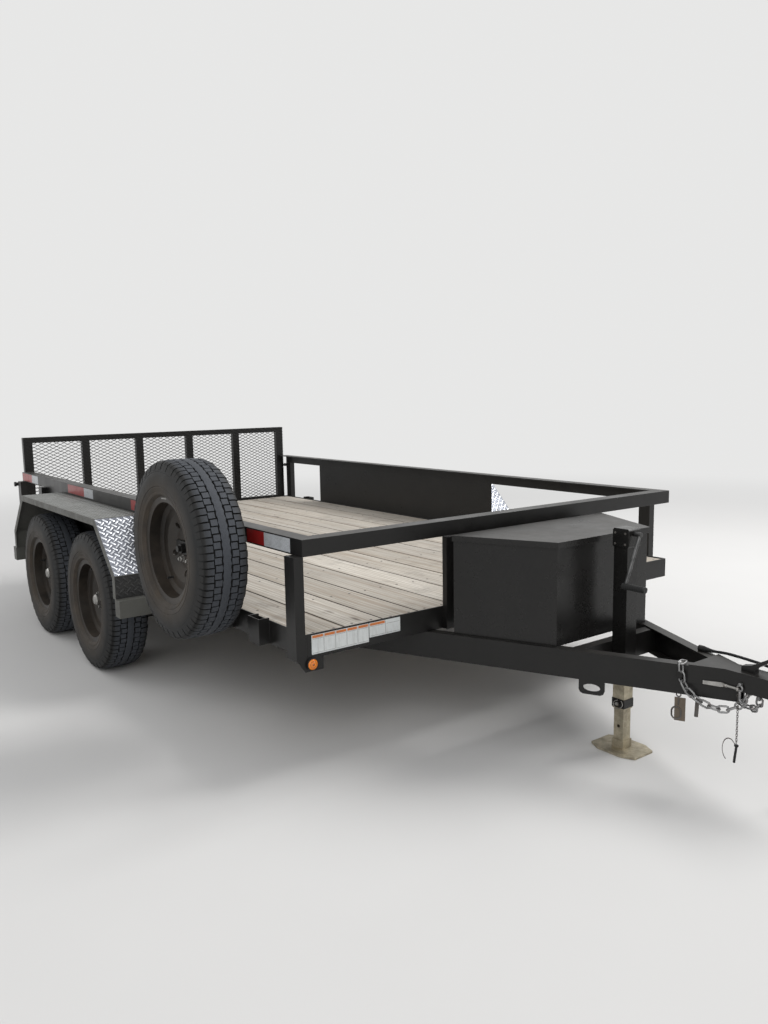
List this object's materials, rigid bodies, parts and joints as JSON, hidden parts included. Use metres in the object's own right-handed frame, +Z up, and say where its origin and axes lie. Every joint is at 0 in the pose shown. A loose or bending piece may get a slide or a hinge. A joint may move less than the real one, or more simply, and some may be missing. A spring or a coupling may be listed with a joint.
{
  "type": "utility trailer",
  "caption": "Flat-deck trailer with open side rails, a folding mesh ramp gate, a wedge toolbox on the drawbar, a drop-leg jack and a spare wheel.",
  "frame": {"origin": "centre of the coupler's ball socket", "axes": "+X forward past the coupler, +Y to the trailer's left, +Z up"},
  "size_m": [4.909, 2.575, 1.104],
  "materials": {
    "black_paint": "satin",
    "deck_wood": "matte",
    "tyre_rubber": "matte",
    "rim_paint": "satin",
    "hub_steel": "satin",
    "jack_zinc": "satin",
    "amber_lens": "gloss",
    "red_lens": "gloss",
    "mesh_paint": "satin",
    "tread_plate": "gloss",
    "chain_steel": "satin",
    "cable_jacket": "matte",
    "plug_plastic": "matte"
  },
  "bodies": {
    "chassis": {"axle_front": "black_paint", "axle_rear": "black_paint", "coupler": "black_paint", "crossmembers": "black_paint", "deck_boards": "deck_wood", "fender_left": "tread_plate", "fender_right": "tread_plate", "frame_front": "black_paint", "frame_rear": "black_paint", "frame_side_left": "black_paint", "frame_side_right": "black_paint", "jack_crank": "black_paint", "jack_housing": "black_paint", "leaf_springs": "black_paint", "marker_lamps": "amber_lens", "rail_front": "black_paint", "rail_left": "black_paint", "rail_right": "black_paint", "safety_chains": "chain_steel", "side_panel_left": "black_paint", "side_panel_right": "black_paint", "spare_carrier": "black_paint", "spare_rim": "rim_paint", "spare_tyre": "tyre_rubber", "spring_hangers": "black_paint", "tail_lamps": "red_lens", "tongue_beam_left": "black_paint", "tongue_beam_right": "black_paint", "tongue_crossmember": "black_paint", "toolbox_body": "black_paint", "wiring_cable": "cable_jacket", "wiring_plug": "plug_plastic"},
    "gate": {"gate_frame": "black_paint", "gate_mesh": "mesh_paint"},
    "wheel_front_left": {"hub_front_left": "hub_steel", "rim_front_left": "rim_paint", "tyre_front_left": "tyre_rubber"},
    "wheel_front_right": {"hub_front_right": "hub_steel", "rim_front_right": "rim_paint", "tyre_front_right": "tyre_rubber"},
    "wheel_rear_left": {"hub_rear_left": "hub_steel", "rim_rear_left": "rim_paint", "tyre_rear_left": "tyre_rubber"},
    "wheel_rear_right": {"hub_rear_right": "hub_steel", "rim_rear_right": "rim_paint", "tyre_rear_right": "tyre_rubber"},
    "jack": {"jack_leg": "jack_zinc"},
    "lid": {"toolbox_lid": "black_paint"}
  },
  "joints": [
    {"name": "wheel_front_right_spin", "type": "hinge", "parent": "chassis", "child": "wheel_front_right", "pos_m": [-2.86105, -1.1595, -0.041], "axis": [0, 1, 0], "continuous": true},
    {"name": "wheel_front_left_spin", "type": "hinge", "parent": "chassis", "child": "wheel_front_left", "pos_m": [-2.86105, 1.1595, -0.041], "axis": [0, 1, 0], "continuous": true},
    {"name": "wheel_rear_right_spin", "type": "hinge", "parent": "chassis", "child": "wheel_rear_right", "pos_m": [-3.69905, -1.1595, -0.041], "axis": [0, 1, 0], "continuous": true},
    {"name": "wheel_rear_left_spin", "type": "hinge", "parent": "chassis", "child": "wheel_rear_left", "pos_m": [-3.69905, 1.1595, -0.041], "axis": [0, 1, 0], "continuous": true},
    {"name": "gate_fold", "type": "hinge", "parent": "chassis", "child": "gate", "pos_m": [-4.844, 0, 0.085], "axis": [0, -1, 0], "range_deg": [0, 138]},
    {"name": "lid_open", "type": "hinge", "parent": "chassis", "child": "lid", "pos_m": [-1.0715, 0, 0.4073], "axis": [0, -1, 0], "range_deg": [0, 100]},
    {"name": "jack_raise", "type": "slide", "parent": "chassis", "child": "jack", "axis": [0, 0, 1], "range_m": [-0.12, 0.1]}
  ]
}
